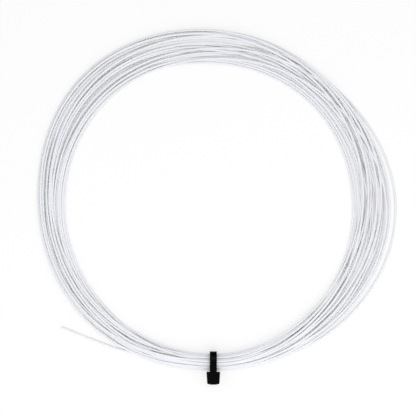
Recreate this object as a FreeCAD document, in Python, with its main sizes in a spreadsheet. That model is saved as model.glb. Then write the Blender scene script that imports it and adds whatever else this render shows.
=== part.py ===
import FreeCAD, Part
import math
import os
import Sketcher
from FreeCAD import Placement, Rotation, Vector

# A set of racket string, wound into a flat ring and held by one cable tie.
# Z is up. The origin is the middle of the ring's hole, on the surface that the ring lies on.
# The tie is on the -Y side, and the string's loose end sticks out beyond it on the -X side.

SIZES = (
    ("string_dia", 1.2, "diameter of the string"),
    ("turn_gap", 0.49, "free space between neighbouring turns and between layers"),
    ("turns_wide", 6, "turns side by side in the widest layer"),
    ("top_turns", 2, "turns in the topmost layer, which ends before it is full"),
    ("hole_radius", 75, "inner radius of the wound ring"),
    ("spread_right", 21, "width of the bundle a quarter turn to the right of the tie"),
    ("spread_far", 17.5, "width of the bundle on the far side of the ring"),
    ("spread_left", 15, "width of the bundle a quarter turn to the left of the tie"),
    ("lead_angle", 16, "how far the first turn begins before the tie, in degrees"),
    ("trail_angle", 40, "how far the last turn runs on past the tie, in degrees"),
    ("loose_run", 10, "first straight of the loose end"),
    ("strap_width", 3.6, "width of the tie's strap"),
    ("strap_thick", 1.1, "thickness of the tie's strap"),
    ("strap_clear", 0.2, "free space between the strap and the bundle"),
    ("low_bend", 2.0, "inner radius of the strap's two bends under the bundle"),
    ("high_bend", 1.3, "inner radius of the strap's bend over the bundle"),
    ("crown_radius", 19, "radius of the strap's crown over the bundle"),
    ("slot_bend", 6, "radius of the gentle bend where the strap turns into its slot"),
    ("stub_length", 0.3, "how far the cut strap stands out of the head"),
    ("head_depth", 6.3, "length of the head along its slot"),
    ("head_width", 7, "width of the head at the slot's entry"),
    ("head_draft", 0.36, "how much each side of the head draws in towards the slot's exit"),
    ("head_roof", 1.25, "wall of the head above the slot"),
    ("head_sill", 0.95, "wall of the head under the pawl"),
    ("head_round", 0.7, "radius of the head's corners at the slot's exit"),
    ("head_edge", 0.35, "radius of the head's upper edges"),
    ("head_bevel", 0.25, "bevel of the head's lower edges"),
    ("root_round", 0.8, "radius between the head's underside and the strap"),
    ("slot_clear", 0.1, "free space above and below the strap in its slot"),
    ("slot_side", 0.15, "free space beside the strap in its slot"),
    ("tooth_pitch", 1.1, "spacing of the strap's teeth"),
    ("tooth_depth", 0.5, "depth of the notches between the strap's teeth"),
    ("tooth_notch", 0.8, "length of a notch along the strap"),
    ("tooth_width", 2.4, "width of the notches across the strap"),
    ("tooth_count", 5, "notches on the straight of the strap"),
    ("tooth_start", 0.9, "from the slot's entry to the locking face of the first notch"),
    ("pawl_width", 2.1, "width of the pawl"),
    ("pawl_clear", 0.15, "free space beside the pawl and between it and the strap"),
    ("pawl_reach", 4.3, "from the pawl's hinge line to its tip"),
    ("pawl_neck", 1.0, "length of the pawl's thin neck"),
    ("pawl_tip", 0.75, "thickness of the pawl at its tip"),
    ("pawl_bite", 0.22, "how far the pawl's teeth reach into the notches"),
    ("pawl_slack", 0.22, "free space between a pawl tooth and its locking face"),
    ("pivot_inset", 1.45, "from the slot's entry to the pawl's hinge line"),
    ("pivot_drop", 1.15, "from the slot down to the pawl's hinge line"),
    ("pivot_radius", 0.35, "radius of the pawl's rounded root"),
    ("pivot_clear", 0.08, "free space around the pawl's root"),
)

# How far each layer stops short of the widest one, in turns, from the lowest layer up
LAYER_INSETS = (1.0, 0.5, 0.0, 0.5)

# The loose end's route after its first straight, chosen by hand. Each point is so far along the
# string's way out of the coil, so far out to the ring's outer side, and so high.
LOOSE_END_ROUTE = (
    (22, 1.6, 1.3),
    (33, 2.3, 0.95),
    (44.5, 1.75, 0.7),
    (55.2, 0.55, 0.57),
)

FLAT_SHARE = 0.1    # depth of the flat under the coil, in string diameters
SECTION_STEP = 0.5    # spacing of the sections on which the coil's gap to itself is measured
SPOKE_STEP = 1.5    # spacing of the spokes on which passes are compared, in degrees
ARC_SHARE = 0.45    # an arc of the loose end takes this much of the shorter of its two straights
PAWL_NOTCHES = (3, 4)    # the notches that the pawl's two teeth sit in, counted from nought

doc = FreeCAD.newDocument("StringCoil")
sheet = doc.addObject("Spreadsheet::Sheet", "Sizes")
for row, (alias, number, note) in enumerate(SIZES, start=1):
    sheet.set(f"A{row}", alias)
    sheet.set(f"B{row}", str(number))
    sheet.setAlias(f"B{row}", alias)
    sheet.set(f"C{row}", note)
doc.recompute()

# Sizes worked out from the sheet, as expressions. The string is drawn as a square of its own area.
SIDE = "(Sizes.string_dia * sqrt(pi) / 2)"
PITCH = f"({SIDE} + Sizes.turn_gap)"
BUNDLE_WIDTH = f"((Sizes.turns_wide - 1) * {PITCH} + {SIDE})"
BUNDLE_HEIGHT = f"({len(LAYER_INSETS) - 1} * {PITCH} + {SIDE})"

# Places on the tie, in its own frame: Y runs outwards from the strap's inner run, and Z is up
SEAT = "(Sizes.strap_thick + Sizes.strap_clear)"
ENTRY = f"({SEAT} + {BUNDLE_WIDTH} + Sizes.strap_clear)"
EXIT = f"({ENTRY} + Sizes.head_depth)"
STRAP_FACE = f"({SEAT} + {BUNDLE_HEIGHT} + Sizes.strap_clear)"
SLOT_FLOOR = f"({STRAP_FACE} - Sizes.slot_clear)"
SLOT_ROOF = f"({STRAP_FACE} + Sizes.strap_thick + Sizes.slot_clear)"
PIVOT_Y = f"({ENTRY} + Sizes.pivot_inset)"
PIVOT_Z = f"({SLOT_FLOOR} - Sizes.pivot_drop)"
SEAT_RADIUS = "(Sizes.pivot_radius + Sizes.pivot_clear)"
HEAD_FOOT = f"({PIVOT_Z} - {SEAT_RADIUS} - Sizes.head_sill)"
HEAD_TOP = f"({SLOT_ROOF} + Sizes.head_roof)"


def worth(expression):
    """The number that an expression of the sheet's sizes gives."""
    return float(sheet.evalExpression(expression))


def size(alias):
    """One size of the sheet."""
    return worth(f"Sizes.{alias}")


# Sketches, whose points and radii are bound to the sheet

def new_sketch(body, name, plane, lift=None):
    """An empty sketch on one of the body's own planes, lifted off it by an expression if one is given."""
    sketch = body.newObject("Sketcher::SketchObject", name)
    support = [f for f in body.Origin.OriginFeatures if f.Role == plane][0]
    sketch.AttachmentSupport = (support, "")
    sketch.MapMode = "FlatFace"
    if lift:
        sketch.setExpression("AttachmentOffset.Base.z", lift)
    return sketch


def bind(sketch, kind, *where, to):
    """A constraint of the sketch whose value is an expression."""
    index = sketch.addConstraint(Sketcher.Constraint(kind, *where, worth(to)))
    sketch.setExpression(f"Constraints[{index}]", to)


def pin(sketch, edge, end, across=None, up=None):
    """Holds one end of an edge at a place given by expressions."""
    if across:
        bind(sketch, "DistanceX", edge, end, to=across)
    if up:
        bind(sketch, "DistanceY", edge, end, to=up)


def add_line(sketch, start, end):
    """A straight edge between two points."""
    return sketch.addGeometry(Part.LineSegment(Vector(*start, 0), Vector(*end, 0)), False)


def add_arc(sketch, centre, radius, start, end):
    """An arc drawn counterclockwise between two angles in degrees."""
    circle = Part.Circle(Vector(*centre, 0), Vector(0, 0, 1), radius)
    arc = Part.ArcOfCircle(circle, math.radians(start), math.radians(end))
    return sketch.addGeometry(arc, False)


def add_outline(sketch, corners):
    """A closed outline of straight edges through corners given as pairs of expressions."""
    points = [(worth(across), worth(up)) for across, up in corners]
    edges = [
        add_line(sketch, point, points[(i + 1) % len(points)])
        for i, point in enumerate(points)
    ]
    for i, edge in enumerate(edges):
        sketch.addConstraint(Sketcher.Constraint("Coincident", edge, 2, edges[(i + 1) % len(edges)], 1))
        pin(sketch, edge, 1, *corners[i])
    return edges


def add_open_outline(sketch, corners):
    """A run of straight edges through corners given as pairs of expressions."""
    points = [(worth(across), worth(up)) for across, up in corners]
    edges = [add_line(sketch, points[i], points[i + 1]) for i in range(len(points) - 1)]
    for i, edge in enumerate(edges):
        if i:
            sketch.addConstraint(Sketcher.Constraint("Coincident", edges[i - 1], 2, edge, 1))
        pin(sketch, edge, 1, *corners[i])
    pin(sketch, edges[-1], 2, *corners[-1])
    return edges


def edges_where(shape, test):
    """The names of a shape's edges whose bounding box passes a test."""
    return [f"Edge{i}" for i, edge in enumerate(shape.Edges, start=1) if test(edge.BoundBox)]


def new_feature(body, kind, name, sketch, **settings):
    """A feature of the body that is made from one sketch."""
    feature = body.newObject(f"PartDesign::{kind}", name)
    feature.Profile = sketch
    for key, value in settings.items():
        setattr(feature, key, value)
    sketch.Visibility = False
    return feature


# The string, in the ring's own flat frame. Its stations are a quarter turn apart, and the second is
# the first of those at the tie.

def station_pitch(station):
    """Spacing of the turns in a layer at one of the four stations round the ring."""
    quarter = station % 4
    if quarter == 0:
        return worth(PITCH)
    spread = size(("spread_right", "spread_far", "spread_left")[quarter - 1])
    return (spread - worth(SIDE)) / (size("turns_wide") - 1)


def winding_stations():
    """Each station's place in its layer, in turns from the hole, its height in layers and both rates per turn."""
    widest = size("turns_wide") - 1
    place = widest - LAYER_INSETS[0]
    stations = [(place + 0.25, 0.0, -1, 0.0)]
    for layer, inset in enumerate(LAYER_INSETS):
        heading = -1 if layer % 2 == 0 else 1
        topmost = layer + 1 == len(LAYER_INSETS)
        turns = int(size("top_turns") if topmost else round(widest - 2 * inset))
        for step in range(4 * turns + 1):
            stations.append((place + heading * step / 4, layer, heading, 0.0))
        place += heading * turns
        if topmost:
            stations.append((place + heading / 4, layer, heading, 0.0))
            break
        # The spiral turns back at a quarter or three quarters of the next turn, in the middle of its climb
        back = int(round(2 * (1 + inset - LAYER_INSETS[layer + 1])))
        for step in (1, 2, 3):
            climb = (step - back + 1) / 2
            height = layer + min(max(climb, 0.0), 1.0)
            way = heading if step < back else -heading if step > back else 0
            rise = 4.0 if step == back else 0.0
            moved = step if step <= back else 2 * back - step
            stations.append((place + heading * moved / 4, height, way, rise))
        place += heading * (2 * back - 4) / 4
    return stations


def station_frame(index, place, height, way, rise):
    """The point and the direction of the string's middle line at a station."""
    angle = math.radians(90) * (index - 2)
    outward = Vector(math.cos(angle), math.sin(angle), 0)
    along = Vector(-math.sin(angle), math.cos(angle), 0)
    pitch = station_pitch(index - 1)
    radius = size("hole_radius") + worth(SIDE) / 2 + place * pitch
    level = worth(SIDE) / 2 + height * worth(PITCH)
    turn = 2 * math.pi
    heading = along * radius + outward * (way * pitch / turn) + Vector(0, 0, rise * worth(PITCH) / turn)
    return outward * radius + Vector(0, 0, level), heading.normalize()


def arc_between(start, heading, end):
    """The arc that leaves start along heading and reaches end."""
    chord = end - start
    half = heading.getAngle(chord)
    aside = chord.cross(heading).cross(chord).normalize()
    middle = (start + end) * 0.5 + aside * (chord.Length / 2 * math.tan(half / 2))
    return Part.Arc(start, middle, end).toShape()


def biarc(start, start_heading, end, end_heading):
    """Two arcs that meet without a corner and take the string from one station to the next."""
    gap = end - start
    both = start_heading + end_heading
    square = 2 * (1 - start_heading.dot(end_heading))
    half = gap.dot(both)
    reach = (math.sqrt(half * half + square * gap.dot(gap)) - half) / square
    first_corner = start + start_heading * reach
    last_corner = end - end_heading * reach
    joint = (first_corner + last_corner) * 0.5
    heading = (last_corner - first_corner).normalize()
    return arc_between(start, start_heading, joint), arc_between(joint, heading, end)


def part_arc(arc, angle, keep_end):
    """The last or first stretch of an arc, and the straight of one diameter that goes on from it."""
    circle = arc.Curve
    axis = circle.Axis if circle.Axis.z > 0 else -circle.Axis
    fixed = arc.valueAt(arc.LastParameter if keep_end else arc.FirstParameter)
    sign = -1 if keep_end else 1
    middle, free = (
        circle.Center + Rotation(axis, sign * share * angle).multVec(fixed - circle.Center)
        for share in (0.5, 1.0)
    )
    heading = axis.cross(free - circle.Center).normalize() * sign
    straight_end = free + heading * size("string_dia")
    if keep_end:
        return Part.Arc(free, middle, fixed).toShape(), Part.LineSegment(straight_end, free).toShape()
    return Part.Arc(fixed, middle, free).toShape(), Part.LineSegment(free, straight_end).toShape()


def winding_path():
    """The middle line of the whole coil, from the straight beside the loose end to the hidden end."""
    frames = [station_frame(i, *station) for i, station in enumerate(winding_stations())]
    quarters = [biarc(*frames[i], *frames[i + 1]) for i in range(len(frames) - 1)]
    lead, lead_straight = part_arc(quarters[0][1], size("lead_angle"), keep_end=True)
    trail, trail_straight = part_arc(quarters[-1][0], size("trail_angle"), keep_end=False)
    arcs = [arc for quarter in quarters[1:-1] for arc in quarter]
    return Part.Wire([lead_straight, lead, *arcs, trail, trail_straight])


def square_section(start, heading):
    """The string's square outline about a point, square to its heading, with its sides upright."""
    aside = Vector(0, 0, 1).cross(heading).normalize()
    upright = heading.cross(aside)
    half = worth(SIDE) / 2
    corners = [
        start + aside * (half * right) + upright * (half * top)
        for right, top in ((1, 1), (-1, 1), (-1, -1), (1, -1), (1, 1))
    ]
    return Part.makePolygon(corners)


def sweep_string(path, name):
    """The solid string along a path, with a printed look at its length and volume."""
    first = path.Edges[0]
    start = path.OrderedVertexes[0].Point
    parameter = first.Curve.parameter(start)
    heading = first.tangentAt(parameter)
    if (first.valueAt((first.FirstParameter + first.LastParameter) / 2) - start).dot(heading) < 0:
        heading = -heading
    solid = path.makePipeShell([square_section(start, heading)], True, False)
    expected = worth(SIDE) ** 2 * path.Length
    print(f"{name}: length {path.Length:.1f} mm, volume {solid.Volume / expected:.4f} of section times length")
    return solid


def string_sections(path, start):
    """Points close together along the coil, each with the ways that its section's two sides face."""
    points = path.discretize(Number=int(path.Length / SECTION_STEP))
    if points[0].distanceToPoint(start) > points[-1].distanceToPoint(start):
        points.reverse()
    heading = (points[1] - points[0]).normalize()
    aside = Vector(0, 0, 1).cross(heading).normalize()
    upright = heading.cross(aside)
    sections = []
    for before, after in zip(points, points[1:]):
        turn = Rotation(heading, after - before)
        heading = turn.multVec(heading)
        aside = turn.multVec(aside)
        upright = turn.multVec(upright)
        sections.append((before, aside, upright))
    return sections


def flatten(direction, outward):
    """A direction as seen in the upright plane that holds the ring's middle and the outward direction."""
    return Vector(direction.dot(outward), direction.z, 0).normalize()


def section_gap(one, other, half):
    """The free space between two square sections, from the corners of each to the other."""
    gaps = []
    for (place, aside, upright), (corner_place, *edges) in ((one, other), (other, one)):
        for right in (-half, half):
            for top in (-half, half):
                corner = corner_place + edges[0] * right + edges[1] * top - place
                beside = max(abs(corner.dot(aside)) - half, 0.0)
                above = max(abs(corner.dot(upright)) - half, 0.0)
                gaps.append(math.hypot(beside, above))
    return min(gaps)


def least_self_gap(path, start):
    """The smallest free space between two passes of the coil, measured on sections all round it."""
    passes = {}
    turned = None
    for point, aside, upright in string_sections(path, start):
        angle = math.degrees(math.atan2(point.y, point.x)) % 360
        spoke = int(angle / SPOKE_STEP)
        if spoke == turned:
            continue
        turned = spoke
        outward = Vector(point.x, point.y, 0).normalize()
        place = Vector(math.hypot(point.x, point.y), point.z, 0)
        section = (place, flatten(aside, outward), flatten(upright, outward))
        passes.setdefault(spoke, []).append(section)
    half = worth(SIDE) / 2
    return min(
        section_gap(one, other, half)
        for found in passes.values()
        for i, one in enumerate(found)
        for other in found[i + 1:]
    )


def ring_placement():
    """Leans the flat ring so that it lies on its far side and on the strap under the tie."""
    rows = size("turns_wide") - 1 - LAYER_INSETS[0] - 0.5
    far = size("hole_radius") + worth(SIDE) + rows * station_pitch(2)
    near = size("hole_radius") + worth(BUNDLE_WIDTH) / 2
    rise = worth(SEAT) + FLAT_SHARE * size("string_dia")
    lean = math.atan2(rise, far + near)
    lift = worth(SEAT) - near * math.sin(lean)
    return Placement(Vector(0, 0, lift), Rotation(Vector(1, 0, 0), -math.degrees(lean)))


def cut_flat(solid, placement):
    """Takes off what would reach under the surface that the ring lies on."""
    reach = size("hole_radius") + size("spread_right") + size("spread_far")
    under = Part.makeBox(2 * reach, 2 * reach, reach, Vector(-reach, -reach, -reach))
    under.Placement = placement.inverse()
    return solid.cut(under)


def loose_end_path(start, heading):
    """Straights joined by tangent arcs, from the coil's end face to the string's tip."""
    level = Vector(heading.x, heading.y, 0).normalize()
    aside = Vector(0, 0, 1).cross(level)
    corners = [start, start + heading * size("loose_run")]
    for along, out, height in LOOSE_END_ROUTE:
        place = start + level * along + aside * out
        corners.append(Vector(place.x, place.y, height))
    edges = []
    last = start
    for i in range(1, len(corners) - 1):
        before = corners[i - 1] - corners[i]
        after = corners[i + 1] - corners[i]
        half_turn = (math.pi - before.getAngle(after)) / 2
        setback = ARC_SHARE * min(before.Length, after.Length)
        radius = setback / math.tan(half_turn)
        print(f"loose end corner {i}: radius {radius:.1f} mm")
        arc_start = corners[i] + before.normalize() * setback
        arc_end = corners[i] + after.normalize() * setback
        centre_way = (before + after).normalize()
        middle = corners[i] + centre_way * (radius / math.cos(half_turn) - radius)
        edges.append(Part.LineSegment(last, arc_start).toShape())
        edges.append(Part.Arc(arc_start, middle, arc_end).toShape())
        last = arc_end
    edges.append(Part.LineSegment(last, corners[-1]).toShape())
    return Part.Wire(edges)


def make_string():
    """The coil and the loose end that goes on from its first turn."""
    path = winding_path()
    start = path.OrderedVertexes[0].Point
    print(f"least gap of the coil to itself: {least_self_gap(path, start):.3f} mm")
    placement = ring_placement()
    coil = doc.addObject("Part::Feature", "string_coil")
    coil.Shape = cut_flat(sweep_string(path, "coil"), placement)
    coil.Placement = placement
    first = path.Edges[0]
    ends = [first.valueAt(first.FirstParameter), first.valueAt(first.LastParameter)]
    inside = max(ends, key=lambda point: point.distanceToPoint(start))
    heading = placement.Rotation.multVec(start - inside).normalize()
    loose_path = loose_end_path(placement.multVec(start), heading)
    loose = doc.addObject("Part::Feature", "string_loose_end")
    loose.Shape = sweep_string(loose_path, "loose end")
    return coil, loose


# The cable tie: one moulding, whose strap leaves the head's foot, goes round the bundle and
# comes back through the slot

def add_head(body):
    """The head's block, wider at the slot's entry, with its edges rounded."""
    plan = new_sketch(body, "head_plan", "XY_Plane", HEAD_FOOT)
    far_half = "(Sizes.head_width / 2 - Sizes.head_draft)"
    add_outline(plan, (
        ("-Sizes.head_width / 2", ENTRY),
        ("Sizes.head_width / 2", ENTRY),
        (far_half, EXIT),
        (f"-{far_half}", EXIT),
    ))
    block = new_feature(body, "Pad", "head_block", plan)
    block.setExpression("Length", f"{HEAD_TOP} - {HEAD_FOOT}")
    doc.recompute()
    middle = (worth(ENTRY) + worth(EXIT)) / 2
    corners = body.newObject("PartDesign::Fillet", "head_corners")
    corners.Base = (block, edges_where(block.Shape, lambda box: box.YMin > middle and box.ZLength > 1))
    corners.setExpression("Radius", "Sizes.head_round")
    doc.recompute()
    top = worth(HEAD_TOP)
    edges = body.newObject("PartDesign::Fillet", "head_edges")
    edges.Base = (corners, edges_where(corners.Shape, lambda box: box.ZMin > top - 0.01))
    edges.setExpression("Radius", "Sizes.head_edge")
    doc.recompute()
    foot = worth(HEAD_FOOT)
    bevel = body.newObject("PartDesign::Chamfer", "head_bevel")
    bevel.Base = (edges, edges_where(edges.Shape, lambda box: box.ZMax < foot + 0.01))
    bevel.setExpression("Size", "Sizes.head_bevel")
    doc.recompute()


def add_slot(body):
    """The slot through the head and the pawl's recess under it, with the round seat of the pawl's root."""
    mouth = new_sketch(body, "slot_outline", "XZ_Plane")
    half = "(Sizes.strap_width / 2 + Sizes.slot_side)"
    add_outline(mouth, (
        (f"-{half}", SLOT_FLOOR),
        (half, SLOT_FLOOR),
        (half, SLOT_ROOF),
        (f"-{half}", SLOT_ROOF),
    ))
    new_feature(body, "Pocket", "slot", mouth, Type="ThroughAll", Midplane=True)

    recess = new_sketch(body, "recess_outline", "YZ_Plane")
    wall = f"{PIVOT_Y} - {SEAT_RADIUS}"
    floor = f"{PIVOT_Z} - {SEAT_RADIUS}"
    outside = f"{EXIT} + Sizes.head_sill"
    lines = add_open_outline(recess, (
        (PIVOT_Y, floor),
        (outside, floor),
        (outside, STRAP_FACE),
        (wall, STRAP_FACE),
        (wall, PIVOT_Z),
    ))
    seat = add_arc(recess, (worth(PIVOT_Y), worth(PIVOT_Z)), worth(SEAT_RADIUS), 180, 270)
    recess.addConstraint(Sketcher.Constraint("Coincident", lines[-1], 2, seat, 1))
    recess.addConstraint(Sketcher.Constraint("Coincident", seat, 2, lines[0], 1))
    pin(recess, seat, 3, across=PIVOT_Y)
    pocket = new_feature(body, "Pocket", "pawl_recess", recess, Type="Length", Midplane=True)
    pocket.setExpression("Length", "Sizes.pawl_width + 2 * Sizes.pawl_clear")
    doc.recompute()


def draw_strap_route(sketch):
    """The strap's middle line, from inside the head's foot round the bundle and out of the slot."""
    half = "Sizes.strap_thick / 2"
    root = f"({ENTRY} + {half})"
    start = f"({HEAD_FOOT} + Sizes.head_sill / 2)"
    low_radius = f"(Sizes.low_bend + {half})"
    high_radius = f"(Sizes.high_bend + {half})"
    slot_start = f"({SEAT} + {BUNDLE_WIDTH})"
    slot_line = f"({STRAP_FACE} + {half})"
    slot_end = f"({EXIT} + Sizes.stub_length)"

    inner = worth(half)
    low = worth(low_radius)
    high = worth(high_radius)
    crown = size("crown_radius")
    ease = size("slot_bend")
    tilt = math.asin((worth(slot_start) - inner - high) / (2 * crown + ease - high))
    tilt_angle = math.degrees(tilt)
    bend_top = worth(slot_line) + ease * (1 - math.cos(tilt)) - high * math.cos(tilt)
    crown_left = inner + high * (1 - math.sin(tilt))
    crown_right = crown_left + 2 * crown * math.sin(tilt)
    crown_foot = worth(slot_line) + ease * (1 - math.cos(tilt))

    down = add_line(sketch, (worth(root), worth(start)), (worth(root), inner + low))
    outer_bend = add_arc(sketch, (worth(root) - low, inner + low), low, 270, 360)
    under = add_line(sketch, (worth(root) - low, inner), (inner + low, inner))
    inner_bend = add_arc(sketch, (inner + low, inner + low), low, 180, 270)
    rise = add_line(sketch, (inner, inner + low), (inner, bend_top))
    top_bend = add_arc(sketch, (inner + high, bend_top), high, 90 + tilt_angle, 180)
    crown_centre = ((crown_left + crown_right) / 2, crown_foot - crown * math.cos(tilt))
    crown_arc = add_arc(sketch, crown_centre, crown, 90 - tilt_angle, 90 + tilt_angle)
    ease_centre = (worth(slot_start), worth(slot_line) + ease)
    ease_arc = add_arc(sketch, ease_centre, ease, 270 - tilt_angle, 270)
    slide = add_line(sketch, (worth(slot_start), worth(slot_line)), (worth(slot_end), worth(slot_line)))

    joints = (
        (down, 2, outer_bend, 2),
        (outer_bend, 1, under, 1),
        (under, 2, inner_bend, 2),
        (inner_bend, 1, rise, 1),
        (rise, 2, top_bend, 2),
        (top_bend, 1, crown_arc, 2),
        (crown_arc, 1, ease_arc, 1),
        (ease_arc, 2, slide, 1),
    )
    for joint in joints:
        sketch.addConstraint(Sketcher.Constraint("Tangent", *joint))
    for upright in (down, rise):
        sketch.addConstraint(Sketcher.Constraint("Vertical", upright))
    for level in (under, slide):
        sketch.addConstraint(Sketcher.Constraint("Horizontal", level))
    sketch.addConstraint(Sketcher.Constraint("Horizontal", crown_arc, 1, crown_arc, 2))
    bind(sketch, "Radius", outer_bend, to=low_radius)
    bind(sketch, "Radius", inner_bend, to=low_radius)
    bind(sketch, "Radius", top_bend, to=high_radius)
    bind(sketch, "Radius", crown_arc, to="Sizes.crown_radius")
    bind(sketch, "Radius", ease_arc, to="Sizes.slot_bend")
    pin(sketch, down, 1, across=root, up=start)
    pin(sketch, under, 1, up=half)
    pin(sketch, rise, 1, across=half)
    pin(sketch, slide, 1, across=slot_start, up=slot_line)
    pin(sketch, slide, 2, across=slot_end)
    return root, start


def add_strap(body):
    """The strap, a rectangle swept along its route."""
    route = new_sketch(body, "strap_route", "YZ_Plane")
    root, start = draw_strap_route(route)
    section = new_sketch(body, "strap_section", "XY_Plane", start)
    half_width = "Sizes.strap_width / 2"
    half_thick = "Sizes.strap_thick / 2"
    add_outline(section, (
        (f"-{half_width}", f"{root} - {half_thick}"),
        (half_width, f"{root} - {half_thick}"),
        (half_width, f"{root} + {half_thick}"),
        (f"-{half_width}", f"{root} + {half_thick}"),
    ))
    doc.recompute()
    strap = new_feature(body, "AdditivePipe", "strap", section)
    strap.Spine = (route, [])
    route.Visibility = False
    doc.recompute()


def add_root_round(body):
    """The round between the head's underside and the strap's outer face."""
    outline = new_sketch(body, "strap_root_outline", "YZ_Plane")
    face = f"({ENTRY} + Sizes.strap_thick)"
    out = f"({face} + Sizes.root_round)"
    down = f"({HEAD_FOOT} - Sizes.root_round)"
    lines = add_open_outline(outline, ((out, HEAD_FOOT), (face, HEAD_FOOT), (face, down)))
    centre = (worth(out), worth(down))
    hollow = add_arc(outline, centre, size("root_round"), 90, 180)
    outline.addConstraint(Sketcher.Constraint("Coincident", lines[-1], 2, hollow, 2))
    outline.addConstraint(Sketcher.Constraint("Coincident", hollow, 1, lines[0], 1))
    pin(outline, hollow, 3, across=out)
    root = new_feature(body, "Pad", "strap_root", outline, Midplane=True)
    root.setExpression("Length", "Sizes.strap_width")
    doc.recompute()


def add_teeth(body):
    """The row of notches on the strap's inner face, each with a ramp and a square locking face."""
    notch = new_sketch(body, "notch_outline", "YZ_Plane")
    wall = f"({ENTRY} + Sizes.tooth_start)"
    under = "(Sizes.slot_clear / 2)"
    ramp = "(Sizes.tooth_notch / Sizes.tooth_depth)"
    add_outline(notch, (
        (wall, f"{STRAP_FACE} - {under}"),
        (wall, f"{STRAP_FACE} + Sizes.tooth_depth"),
        (f"{wall} - Sizes.tooth_notch - {under} * {ramp}", f"{STRAP_FACE} - {under}"),
    ))
    cut = new_feature(body, "Pocket", "notch", notch, Type="Length", Midplane=True)
    cut.setExpression("Length", "Sizes.tooth_width")
    doc.recompute()
    row = body.newObject("PartDesign::LinearPattern", "notch_row")
    row.Originals = [cut]
    row.Direction = ([f for f in body.Origin.OriginFeatures if f.Role == "Y_Axis"][0], [""])
    row.setExpression("Length", "(Sizes.tooth_count - 1) * Sizes.tooth_pitch")
    row.setExpression("Occurrences", "Sizes.tooth_count")
    body.Tip = row
    doc.recompute()


def place_on_ring(body):
    """Turns the tie's own frame round and seats it on the bundle at the ring's -Y side."""
    body.Placement = Placement(Vector(0, 0, 0), Rotation(Vector(0, 0, 1), 180))
    body.setExpression("Placement.Base.y", f"-(Sizes.hole_radius - {SEAT})")


def make_tie():
    """The tie's moulding: head, slot, strap and teeth."""
    body = doc.addObject("PartDesign::Body", "cable_tie")
    add_head(body)
    add_slot(body)
    add_strap(body)
    add_root_round(body)
    add_teeth(body)
    place_on_ring(body)
    return body


def make_pawl():
    """The tongue in the head that catches the strap's teeth, with a round root at its hinge line."""
    body = doc.addObject("PartDesign::Body", "tie_pawl")
    outline = new_sketch(body, "pawl_outline", "YZ_Plane")
    face = f"({STRAP_FACE} - Sizes.pawl_clear)"
    peak = f"({STRAP_FACE} + Sizes.pawl_bite)"
    ramp = "((Sizes.pawl_bite + Sizes.pawl_clear) * Sizes.tooth_notch / Sizes.tooth_depth)"
    tip = f"({PIVOT_Y} + Sizes.pawl_reach)"
    corners = [
        (PIVOT_Y, f"{PIVOT_Z} - Sizes.pivot_radius"),
        (tip, f"{face} - Sizes.pawl_tip"),
        (tip, face),
    ]
    for notch in reversed(PAWL_NOTCHES):
        edge = f"({ENTRY} + Sizes.tooth_start + {notch} * Sizes.tooth_pitch - Sizes.pawl_slack)"
        corners += [(edge, face), (edge, peak), (f"{edge} - {ramp}", face)]
    corners += [
        (f"{PIVOT_Y} + Sizes.pawl_neck", f"{PIVOT_Z} + Sizes.pivot_radius"),
        (PIVOT_Y, f"{PIVOT_Z} + Sizes.pivot_radius"),
    ]
    lines = add_open_outline(outline, corners)
    root = add_arc(outline, (worth(PIVOT_Y), worth(PIVOT_Z)), size("pivot_radius"), 90, 270)
    outline.addConstraint(Sketcher.Constraint("Coincident", lines[-1], 2, root, 1))
    outline.addConstraint(Sketcher.Constraint("Coincident", root, 2, lines[0], 1))
    pin(outline, root, 3, across=PIVOT_Y)
    tongue = new_feature(body, "Pad", "pawl_tongue", outline, Midplane=True)
    tongue.setExpression("Length", "Sizes.pawl_width")
    doc.recompute()
    place_on_ring(body)
    return body


def check_document():
    """Stops before anything is written if an object has failed."""
    for item in doc.Objects:
        if {"Invalid", "Error"} & set(item.State):
            raise RuntimeError(f"{item.Name} has failed: {item.State}")


def main():
    """Builds the sub-parts and writes one file for each."""
    parts = [*make_string(), make_tie(), make_pawl()]
    for part in parts:
        part.Label = part.Name
    doc.recompute()
    check_document()
    for part in parts:
        if part.Shape.isNull() or not part.Shape.isValid():
            raise RuntimeError(f"{part.Label} has no valid shape")
    os.makedirs("parts", exist_ok=True)
    for part in parts:
        part.Shape.exportStep(f"parts/{part.Label}.step")
        box = part.Shape.optimalBoundingBox(True, False)
        print(f"{part.Label}: {len(part.Shape.Solids)} solid, {part.Shape.Volume:.1f} mm3, "
              f"x {box.XMin:.2f} to {box.XMax:.2f}, y {box.YMin:.2f} to {box.YMax:.2f}, "
              f"z {box.ZMin:.2f} to {box.ZMax:.2f}")
    hinge = parts[-1].Placement.multVec(Vector(0, worth(PIVOT_Y), worth(PIVOT_Z)))
    print(f"pawl's hinge line: y {hinge.y:.3f}, z {hinge.z:.3f}")


main()
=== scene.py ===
import math

import bpy
import numpy as np
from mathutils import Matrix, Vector


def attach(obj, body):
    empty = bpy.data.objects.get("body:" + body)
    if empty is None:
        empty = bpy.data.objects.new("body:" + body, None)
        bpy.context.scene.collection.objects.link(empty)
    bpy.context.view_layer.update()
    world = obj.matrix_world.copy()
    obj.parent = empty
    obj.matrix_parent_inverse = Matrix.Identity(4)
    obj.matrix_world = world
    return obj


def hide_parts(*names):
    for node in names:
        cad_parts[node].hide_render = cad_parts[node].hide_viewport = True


# A coil of white racket string held by a black cable tie, seen from straight above.
# Everything is in metres, in the same frame as the solids: the tie is on the -Y side.

MM = 0.001
EIGHTH = math.pi / 4    # of a turn: the spacing of the ring's edges and of the ways round it

# The photograph's scale and the place in it of the frame's origin
PHOTO_PIXELS = 416
PIXEL = 0.5146 * MM
ORIGIN_PIXEL = (213.3, 208.1)
LENS = 250.0
SENSOR = 36.0
MIDDLE_HEIGHT = 4 * MM    # height over the floor at which the scale holds

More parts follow.
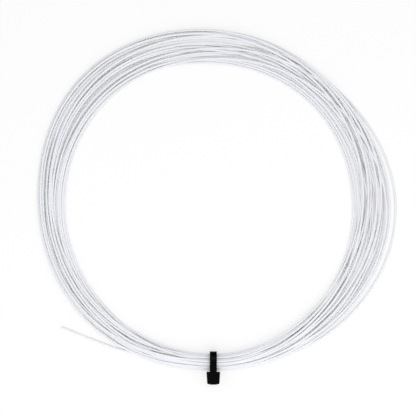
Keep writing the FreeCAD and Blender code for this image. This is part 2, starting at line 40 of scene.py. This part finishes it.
# The string, and its passes in the tie, in staggered layers from the lowest up
STRING = 1.2 * MM    # diameter
LAYER_COUNTS = (4, 7, 6, 5, 2)
TIE_MIDDLE = 79.4 * MM    # from the frame's origin to the bundle's middle
TIE_PITCH = 1.27 * MM    # from one pass to the next in a layer
TIE_FLOOR = 1.92 * MM    # height of the lowest layer
TIE_RISE = 1.13 * MM    # from one layer to the next

# The ring as photographed, in millimetres from the origin at every eighth of a turn from the tie: its hole's
# edge, and its outer edge, kept inside the box of the solids at the top and on the left
HOLE_EDGE = (75.0, 72.3, 71.8, 74.4, 75.2, 78.2, 77.3, 74.2)
OUTER_EDGE = (83.8, 87.0, 92.2, 89.4, 91.8, 95.3, 89.5, 87.6)

# Ways that the turns take round the ring: the share of its width, from the hole outward,
# at each eighth of a turn after the tie
WAYS = {
    "apart": (1.13, 1.08, 0.92, 0.50, 0.26, 0.42, 0.66),
    "falling": (0.80, 0.88, 0.50, 0.16, 0.10, 0.12, 0.30),
    "waving": (0.55, 0.62, 0.34, 0.36, 0.55, 0.66, 0.62),
    "arching": (0.40, 0.44, 0.28, 0.56, 0.40, 0.30, 0.44),
    "hugging": (0.24, 0.16, 0.06, 0.04, 0.20, 0.24, 0.16),
    "rising": (0.12, 0.12, 0.72, 0.94, 0.96, 0.90, 0.88),
    "returning": (0.18, 0.28, 0.76, 0.82, 0.76, 0.42, 0.10),
}
ORDER = (
    "apart", "hugging", "falling", "arching", "waving", "falling", "hugging", "falling", "arching", "waving",
    "falling", "waving", "hugging", "falling", "arching", "waving",
    "rising", "returning", "rising", "returning", "rising", "returning", "rising",
)
LEAD_SHARES = (1.0, 1.0, 0.95)    # the same before the first pass, for the stretch from the loose end
TRAIL_SHARES = (0.5, 0.5, 0.5, 0.5)    # the same after the last pass, for the hidden end

# Each turn strays from its way by a wave of this size, which shifts from turn to turn and eighth to eighth
SCATTER = 0.05
TURN_SHIFT = 2.4
EIGHTH_SHIFT = 1.3

# The turns' spreading over the ring's width
SPREAD_STEPS = 60
EVENNESS = 0.4    # how far a step moves each turn to its even place
FAITH = 0.1    # how far a step moves it back to its way
SMOOTHINGS = 8    # how often a step eases the bends
SMOOTHING = 0.5    # how far each easing straightens them

# The loose end from its tip to the coil
LOOSE_END = (
    (-78.4 * MM, -61.4 * MM, 0.62 * MM),
    (-68.6 * MM, -65.3 * MM, 0.62 * MM),
    (-58.3 * MM, -69.4 * MM, 0.62 * MM),
    (-48.0 * MM, -73.2 * MM, 0.64 * MM),
)

SECTIONS = 40    # control points in each turn of the coil
LEAD_SECTIONS = 3    # sections of the first turn that come before the tie
TRAIL_SECTIONS = 6    # sections of the last turn that go on past the tie
HELD_SECTIONS = 1    # sections on each side of the tie that keep their places in it, where it slides
CURVE_STEPS = 3    # steps of the drawn curve in a section
ROUNDNESS = 3    # Blender's measure of how many sides the drawn string has

# The layout's settling
SETTLE_STEPS = 800
SINKING_SHARE = 0.8    # of the steps: the turns sink in these, and the rest only part and ease them
FIRST_HEIGHT = 0.6    # height of the first turn at the start, in string diameters
FIRST_RISE = 4    # how much higher the last turn is then
SINK = 0.03 * MM    # how far a step lets each pass down
PULL = 0.004    # how far a step brings it back to its way
STIFFNESS = 0.26    # how far a step straightens it
PUSH = 0.45    # how far a step parts two passes that are too near
SPACING = 1.02    # how near they may come, in string diameters
FAR = 1000.0    # where a turn stands that has no point in a section
TINY = 1e-9    # a distance that stands for nought

# The string's two near whites, and the warmer painted shade colour that it is given deep between its turns,
# where little is open round it
STRING_TINTS = ((0.872, 0.890, 0.935), (0.892, 0.910, 0.955))
TINT_SCALE = 60.0
PAINTED_SHADE_TINT = (0.914, 0.888, 0.842)
SHADE_TINT_REACH = 4 * MM    # how far round a point its openness is looked at
SHADE_TINT_OPENNESS = 0.4    # the openness at which the painted shade colour has faded out
SHADE_TINT_SAMPLES = 8
STRING_ROUGHNESS = 0.45
STRING_IOR = 1.53
STRING_SHEEN = 0.5
SHEEN_ROUGHNESS = 0.5

# The tie's black nylon and its fine grain
TIE_COLOUR = (0.0008, 0.0008, 0.0009)
TIE_ROUGHNESS = 0.2
TIE_GLOSS = 0.02
GRAIN_SCALE = 1500.0
GRAIN_STRENGTH = 0.15
GRAIN_DEPTH = 0.05 * MM

# The floor reflects this much. The camera sees a weaker shadow, and a glow that makes its plain parts white.
FLOOR_SIZE = 6
FLOOR_BOUNCE = (0.82, 0.80, 0.76)
FLOOR_SHADE = 0.4
FLOOR_GLOW = 0.61

# The light from all round, and the lamps: name, place, size, power in watts and colour
WHITE = (1.0, 1.0, 1.0)
WARM_WHITE = (1.0, 0.98, 0.95)
WORLD_LIGHT = (0.65, 0.655, 0.665)
LAMPS = (
    ("softbox", (0.04, -0.18, 0.65), (0.55, 0.55), 1.15, WARM_WHITE),
    ("near_softbox", (0.12, -0.45, 0.36), (0.6, 0.3), 0.55, WARM_WHITE),
    ("small_lamp", (0.0, 0.05, 0.75), (0.08, 0.06), 0.26, WHITE),
)

# The places of the sockets in Blender's mix node when it mixes colours
MIX_SHARE = 0
MIX_FIRST = 6
MIX_SECOND = 7
MIX_RESULT = 2


def make_camera():
    """A long lens straight above, framed as the photograph is."""
    data = bpy.data.cameras.new("camera")
    data.lens = LENS
    data.sensor_width = SENSOR
    height = PIXEL * PHOTO_PIXELS * LENS / SENSOR + MIDDLE_HEIGHT
    middle = PHOTO_PIXELS / 2
    camera = bpy.data.objects.new("camera", data)
    camera.location = (
        (middle - ORIGIN_PIXEL[0]) * PIXEL,
        (ORIGIN_PIXEL[1] - middle) * PIXEL,
        height,
    )
    bpy.context.scene.collection.objects.link(camera)
    bpy.context.scene.camera = camera


def tie_places():
    """Where each pass of the string lies in the tie: its distance from the frame's axis and its height."""
    # The layers run back and forth, as the string is wound
    places = []
    for layer, count in enumerate(LAYER_COUNTS):
        steps = np.arange(count) - (count - 1) / 2
        if layer % 2 == 0:
            steps = -steps
        for step in steps:
            places.append((TIE_MIDDLE + step * TIE_PITCH, TIE_FLOOR + layer * TIE_RISE))
    return np.array(places)


def in_tie(steps):
    """Which control points lie in the tie, or just beside it, where the tie can slide."""
    return (steps + HELD_SECTIONS) % SECTIONS <= 2 * HELD_SECTIONS


def pass_at(steps):
    """The number of the pass in the tie that control points in it or beside it belong to."""
    return (steps + HELD_SECTIONS) // SECTIONS


def smooth_through(values, place):
    """A smooth curve through evenly spaced values, read at a place counted in steps."""
    values = np.asarray(values, float)
    last = len(values) - 1
    start = np.clip(np.floor(place).astype(int), 0, last - 1)
    share = place - start
    before = values[np.maximum(start - 1, 0)]
    here = values[start]
    there = values[start + 1]
    after = values[np.minimum(start + 2, last)]
    bend = 2 * before - 5 * here + 4 * there - after
    twist = 3 * (here - there) + after - before
    return here + 0.5 * share * (there - before + share * (bend + share * twist))


def edge_at(edge, angle):
    """An edge's distance from the frame's origin at an angle counted from the tie."""
    eighth = (angle / EIGHTH) % len(edge)
    around = edge[-2:] + edge + edge[:2]
    return smooth_through(around, eighth + 2) * MM


def straightened(values, share):
    """Values along the string, each moved a share of the way to the middle between its neighbours."""
    values = values.copy()
    values[1:-1] += ((values[:-2] + values[2:]) / 2 - values[1:-1]) * share
    return values


def smoothed(values, held):
    """Values along the string with their bends eased, those at the tie kept."""
    for step in range(SMOOTHINGS):
        eased = straightened(values, SMOOTHING)
        eased[held] = values[held]
        values = eased
    return values


def way_shares(at_tie, steps):
    """Each control point's share of the bundle's width on the way that its turn takes."""
    knots = [*LEAD_SHARES, at_tie[0]]
    for turn, way in enumerate(ORDER):
        for eighth, share in enumerate(WAYS[way]):
            knots.append(share + SCATTER * math.sin(TURN_SHIFT * turn + EIGHTH_SHIFT * eighth))
        knots.append(at_tie[turn + 1])
    knots += TRAIL_SHARES
    knots_a_turn = len(HOLE_EDGE)
    shares = smooth_through(knots, steps / (SECTIONS / knots_a_turn) + len(LEAD_SHARES))
    held = in_tie(steps)
    shares[held] = at_tie[pass_at(steps[held])]
    return shares


def coil_shares(turns, steps):
    """Each control point's share of the bundle's width, from its hole side to its outer side."""
    radii = tie_places()[:, 0]
    at_tie = (radii - radii.min()) / (radii.max() - radii.min())
    chosen = way_shares(at_tie, steps)
    shares = chosen.copy()
    section = steps % SECTIONS
    held = in_tie(steps)

    # The turns after the first one are ranked by their place in each section, and drawn to even places
    first = steps <= SECTIONS
    evened = ~first & (steps < turns * SECTIONS) & ~held
    turn_of = steps[evened] // SECTIONS
    place = np.zeros((turns, SECTIONS))
    for step in range(SPREAD_STEPS):
        place[:] = np.inf
        place[turn_of, section[evened]] = shares[evened]
        ranks = np.argsort(np.argsort(place[1:], axis=0), axis=0) / (turns - 2)
        even = ranks[turn_of - 1, section[evened]]
        shares[evened] += (even - shares[evened]) * EVENNESS
        shares = smoothed(shares + (chosen - shares) * FAITH, held)
        shares[first] = chosen[first]
    return np.maximum(shares, 0)


def parting(across, up):
    """How far each turn moves, in each section, away from the others that are too near."""
    gap_across = across[:, :, None] - across[:, None, :]
    gap_up = up[:, :, None] - up[:, None, :]
    apart = np.maximum(np.hypot(gap_across, gap_up), TINY)
    touch = np.clip(STRING * SPACING - apart, 0, None)
    itself = np.arange(across.shape[1])
    touch[:, itself, itself] = 0
    move_across = (touch * gap_across / apart).sum(2) * PUSH
    move_up = (touch * gap_up / apart).sum(2) * PUSH
    return move_across, move_up


def settle(radius, height, steps, fixed):
    """Lets the passes sink onto each other and the floor, without touching, and keeps them smooth."""
    wanted = radius.copy()
    held_radius = radius[fixed].copy()
    held_height = height[fixed].copy()

    # The grid holds each control point's number by its section and its turn, the lead's being turn 0
    turn = steps // SECTIONS + 1
    grid = np.full((SECTIONS, turn.max() + 1), -1)
    grid[steps % SECTIONS, turn] = np.arange(len(steps))
    present = grid >= 0
    aside = FAR * np.arange(grid.shape[1])
    for step in range(SETTLE_STEPS):
        if step < SETTLE_STEPS * SINKING_SHARE:
            height = height - SINK
            radius = radius + (wanted - radius) * PULL
        radius = wanted + straightened(radius - wanted, STIFFNESS)
        height = straightened(height, STIFFNESS)
        across = np.where(present, radius[grid], aside)
        up = np.where(present, height[grid], 0.0)
        move_across, move_up = parting(across, up)
        radius[grid[present]] += move_across[present]
        height[grid[present]] += move_up[present]
        height = np.maximum(height, STRING / 2)
        radius[fixed] = held_radius
        height[fixed] = held_height
    return radius, height


def coil_points():
    """Control points of the coil, from beside the loose end to the hidden end."""
    turns = sum(LAYER_COUNTS) - 1
    steps = np.arange(-LEAD_SECTIONS, turns * SECTIONS + TRAIL_SECTIONS + 1)
    angle = steps * (2 * math.pi / SECTIONS)
    shares = coil_shares(turns, steps)
    inner = edge_at(HOLE_EDGE, angle) + STRING / 2
    outer = edge_at(OUTER_EDGE, angle) - STRING / 2
    radius = inner + shares * (outer - inner)
    height = STRING * (FIRST_HEIGHT + FIRST_RISE * steps / steps[-1])
    places = tie_places()
    fixed = in_tie(steps)
    radius[fixed], height[fixed] = places[pass_at(steps[fixed])].T
    tail = steps > turns * SECTIONS + HELD_SECTIONS
    height[tail] = np.linspace(places[-1, 1], STRING / 2, tail.sum())
    radius, height = settle(radius, height, steps, fixed)

    # A control point lies a little outside the curve that it shapes
    outward = radius / math.cos(math.pi / SECTIONS)
    return [
        Vector((r * math.sin(a), -r * math.cos(a), h))
        for r, a, h in zip(outward, angle, height)
    ]


def make_string():
    """The whole string as one smooth curve."""
    points = [Vector(point) for point in LOOSE_END] + coil_points()
    data = bpy.data.curves.new("string", "CURVE")
    data.dimensions = "3D"
    data.bevel_depth = 1.0    # so that each point's radius is the string's
    data.bevel_resolution = ROUNDNESS
    data.resolution_u = CURVE_STEPS
    data.use_fill_caps = True
    spline = data.splines.new("NURBS")
    spline.points.add(len(points) - 1)
    for control, point in zip(spline.points, points):
        control.co = (*point, 1.0)
        control.radius = STRING / 2
    spline.order_u = 3
    spline.use_endpoint_u = True
    string = bpy.data.objects.new("string", data)
    bpy.context.scene.collection.objects.link(string)
    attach(string, "string")
    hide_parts("string_coil", "string_loose_end")
    string.data.materials.append(string_material())


def new_material(name):
    """A new node material, with its nodes, its links and its shader."""
    material = bpy.data.materials.new(name)
    material.use_nodes = True
    nodes = material.node_tree.nodes
    return material, nodes, material.node_tree.links, nodes["Principled BSDF"]


def mix_node(nodes, links, share):
    """A mix of two colours, of which the second one has the share that a socket gives."""
    mix = nodes.new("ShaderNodeMix")
    mix.data_type = "RGBA"
    links.new(share, mix.inputs[MIX_SHARE])
    return mix


def noise_node(nodes, links, scale):
    """Noise that keeps its place on the object."""
    place = nodes.new("ShaderNodeTexCoord")
    noise = nodes.new("ShaderNodeTexNoise")
    noise.inputs["Scale"].default_value = scale
    links.new(place.outputs["Object"], noise.inputs["Vector"])
    return noise


def seen_rays(nodes, links):
    """1 for rays from the camera, off gloss and through glass, and 0 for the rays that light."""
    ray = nodes.new("ShaderNodeLightPath")
    seen = ray.outputs["Is Camera Ray"]
    for name in ("Is Glossy Ray", "Is Transmission Ray"):
        either = nodes.new("ShaderNodeMath")
        either.operation = "MAXIMUM"
        links.new(seen, either.inputs[0])
        links.new(ray.outputs[name], either.inputs[1])
        seen = either.outputs[0]
    return seen


def string_material():
    """White nylon with a soft sheen, and a warmer painted shade in its colour deep between the turns, where
    ambient occlusion finds it shut in.
    """
    material, nodes, links, shader = new_material("white_string")
    cloud = noise_node(nodes, links, TINT_SCALE)
    tint = mix_node(nodes, links, cloud.outputs["Fac"])
    tint.inputs[MIX_FIRST].default_value = (*STRING_TINTS[0], 1)
    tint.inputs[MIX_SECOND].default_value = (*STRING_TINTS[1], 1)
    # Painted shade: ambient occlusion gives the colour a warmer tint deep between the turns, where light is
    # shut out.
    shade_occlusion = nodes.new("ShaderNodeAmbientOcclusion")
    shade_occlusion.samples = SHADE_TINT_SAMPLES
    shade_occlusion.inputs["Distance"].default_value = SHADE_TINT_REACH
    openness = nodes.new("ShaderNodeMapRange")
    openness.inputs["From Max"].default_value = SHADE_TINT_OPENNESS
    links.new(shade_occlusion.outputs["AO"], openness.inputs["Value"])
    shaded_tint = mix_node(nodes, links, openness.outputs["Result"])
    shaded_tint.inputs[MIX_FIRST].default_value = (*PAINTED_SHADE_TINT, 1)
    links.new(tint.outputs[MIX_RESULT], shaded_tint.inputs[MIX_SECOND])
    links.new(shaded_tint.outputs[MIX_RESULT], shader.inputs["Base Color"])
    shader.inputs["Roughness"].default_value = STRING_ROUGHNESS
    shader.inputs["IOR"].default_value = STRING_IOR
    shader.inputs["Sheen Weight"].default_value = STRING_SHEEN
    shader.inputs["Sheen Roughness"].default_value = SHEEN_ROUGHNESS
    return material


def tie_material():
    """Black moulded nylon with a fine grain."""
    material, nodes, links, shader = new_material("black_nylon")
    grain = noise_node(nodes, links, GRAIN_SCALE)
    bump = nodes.new("ShaderNodeBump")
    bump.inputs["Strength"].default_value = GRAIN_STRENGTH
    bump.inputs["Distance"].default_value = GRAIN_DEPTH
    links.new(grain.outputs["Fac"], bump.inputs["Height"])
    links.new(bump.outputs["Normal"], shader.inputs["Normal"])
    shader.inputs["Base Color"].default_value = (*TIE_COLOUR, 1)
    shader.inputs["Roughness"].default_value = TIE_ROUGHNESS
    shader.inputs["Specular IOR Level"].default_value = TIE_GLOSS
    return material


def dress_tie(nodes):
    """Gives the tie's solids their material."""
    black = tie_material()
    for name in ("cable_tie", "tie_pawl"):
        for slot in nodes[name].material_slots:
            slot.material = black


def floor_material():
    """A white floor that keeps a faint shadow."""
    material, nodes, links, shader = new_material("floor")
    shader.inputs["Roughness"].default_value = 1.0
    shader.inputs["Specular IOR Level"].default_value = 0.0
    seen = seen_rays(nodes, links)
    tone = mix_node(nodes, links, seen)
    tone.inputs[MIX_FIRST].default_value = (*FLOOR_BOUNCE, 1)
    tone.inputs[MIX_SECOND].default_value = (FLOOR_SHADE, FLOOR_SHADE, FLOOR_SHADE, 1)
    links.new(tone.outputs[MIX_RESULT], shader.inputs["Base Color"])
    glow = nodes.new("ShaderNodeMath")
    glow.operation = "MULTIPLY"
    glow.inputs[1].default_value = FLOOR_GLOW
    links.new(seen, glow.inputs[0])
    shader.inputs["Emission Color"].default_value = (*WHITE, 1)
    links.new(glow.outputs[0], shader.inputs["Emission Strength"])
    return material


def make_floor():
    """The plain surface that the coil lies on."""
    bpy.ops.mesh.primitive_plane_add(size=FLOOR_SIZE, location=(0, 0, 0))
    floor = bpy.context.object
    floor.name = "floor"
    floor.data.materials.append(floor_material())


def add_lamp(name, place, size, energy, colour):
    """A soft lamp that looks at the coil's middle."""
    data = bpy.data.lights.new(name, "AREA")
    data.shape = "RECTANGLE"
    data.size, data.size_y = size
    data.energy = energy
    data.color = colour
    lamp = bpy.data.objects.new(name, data)
    lamp.location = place
    lamp.rotation_euler = (-lamp.location).to_track_quat("-Z", "Y").to_euler()
    bpy.context.scene.collection.objects.link(lamp)


def make_lights():
    """Even studio light, a little stronger from the tie's side, cool all round and warm from above."""
    world = bpy.data.worlds.new("studio")
    bpy.context.scene.world = world
    world.use_nodes = True
    nodes = world.node_tree.nodes
    links = world.node_tree.links
    tone = mix_node(nodes, links, seen_rays(nodes, links))
    tone.inputs[MIX_FIRST].default_value = (*WORLD_LIGHT, 1)
    tone.inputs[MIX_SECOND].default_value = (*WHITE, 1)
    links.new(tone.outputs[MIX_RESULT], nodes["Background"].inputs["Color"])
    for lamp in LAMPS:
        add_lamp(*lamp)


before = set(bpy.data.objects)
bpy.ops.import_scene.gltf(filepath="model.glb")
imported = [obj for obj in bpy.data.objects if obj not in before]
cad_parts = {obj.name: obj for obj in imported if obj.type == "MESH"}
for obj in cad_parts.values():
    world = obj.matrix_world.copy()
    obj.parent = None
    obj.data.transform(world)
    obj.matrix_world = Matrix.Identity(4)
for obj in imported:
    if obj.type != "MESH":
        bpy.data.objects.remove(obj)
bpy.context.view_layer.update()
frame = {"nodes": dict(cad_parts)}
make_camera()
make_string()
dress_tie(frame["nodes"])
make_floor()
make_lights()
bpy.context.scene.view_settings.view_transform = "Standard"

bpy.context.view_layer.update()
